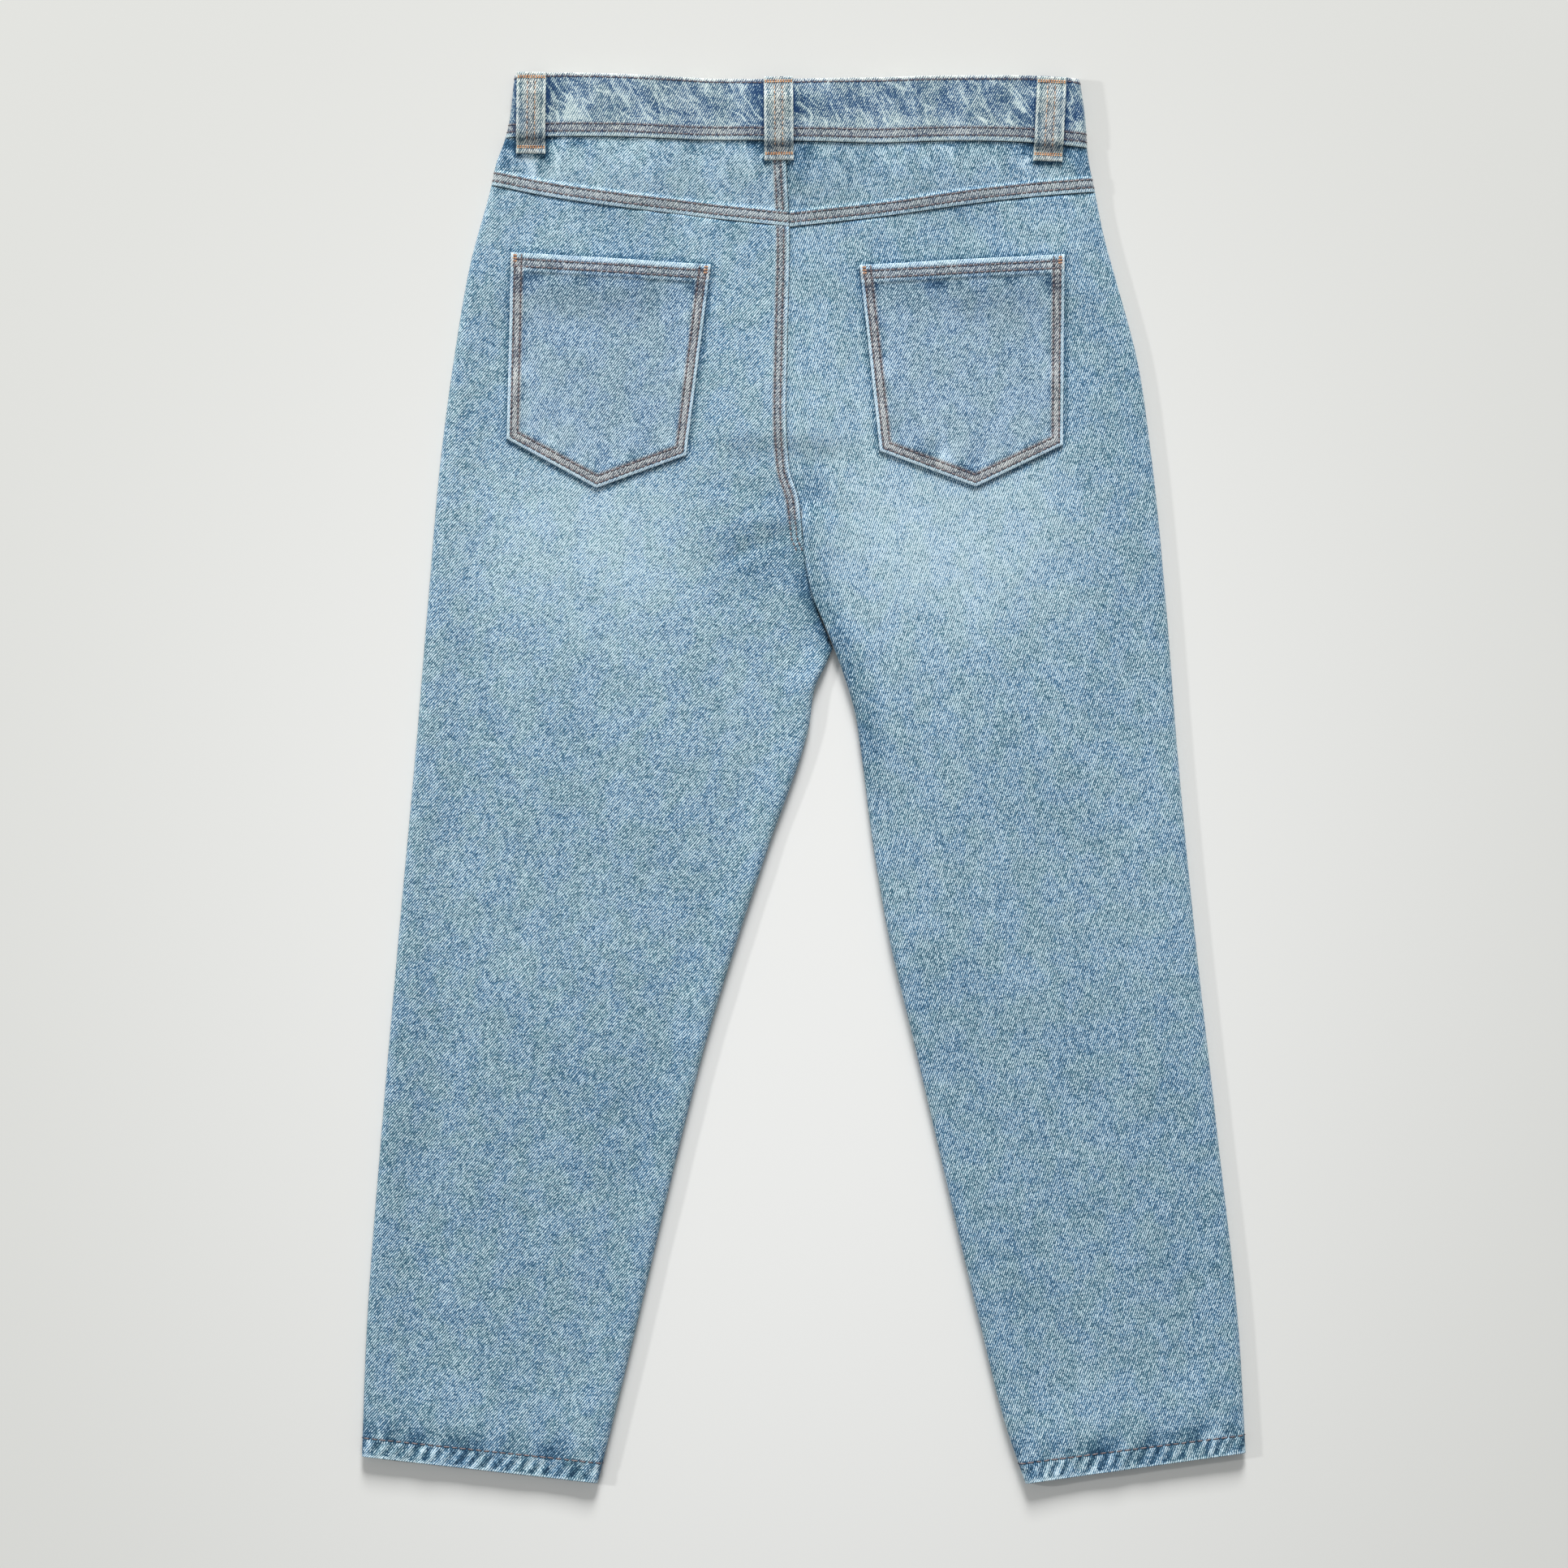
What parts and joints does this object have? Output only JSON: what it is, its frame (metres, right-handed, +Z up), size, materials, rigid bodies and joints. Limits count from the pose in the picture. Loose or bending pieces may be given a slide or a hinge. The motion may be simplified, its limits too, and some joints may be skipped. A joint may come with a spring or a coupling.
{
  "type": "mom jeans",
  "caption": "High-waisted denim trousers with tapered legs, patch back pockets and belt loops, laid flat with the back up.",
  "frame": {"origin": "middle of the bounding box, on the surface that the jeans lie on", "axes": "+Y towards the waist, +X towards the wearer's right, +Z up from the surface and out of the back of the jeans"},
  "size_m": [0.5453, 0.87, 0.0153],
  "materials": {
    "denim": "washed denim",
    "waistband_denim": "washed denim",
    "pocket_denim": "washed denim",
    "loop_denim": "washed denim",
    "button_metal": "aged"
  },
  "bodies": {
    "root": {"waistband": "waistband_denim", "yoke_left": "denim", "yoke_right": "denim", "back_left": "denim", "back_right": "denim", "pocket_left": "pocket_denim", "pocket_right": "pocket_denim", "loop_back_left": "loop_denim", "loop_back_centre": "loop_denim", "loop_back_right": "loop_denim", "front_left": "denim", "front_right": "denim", "facing_left": "denim", "facing_right": "denim", "loop_front_left": "loop_denim", "loop_front_right": "loop_denim", "button": "button_metal"}
  },
  "joints": []
}
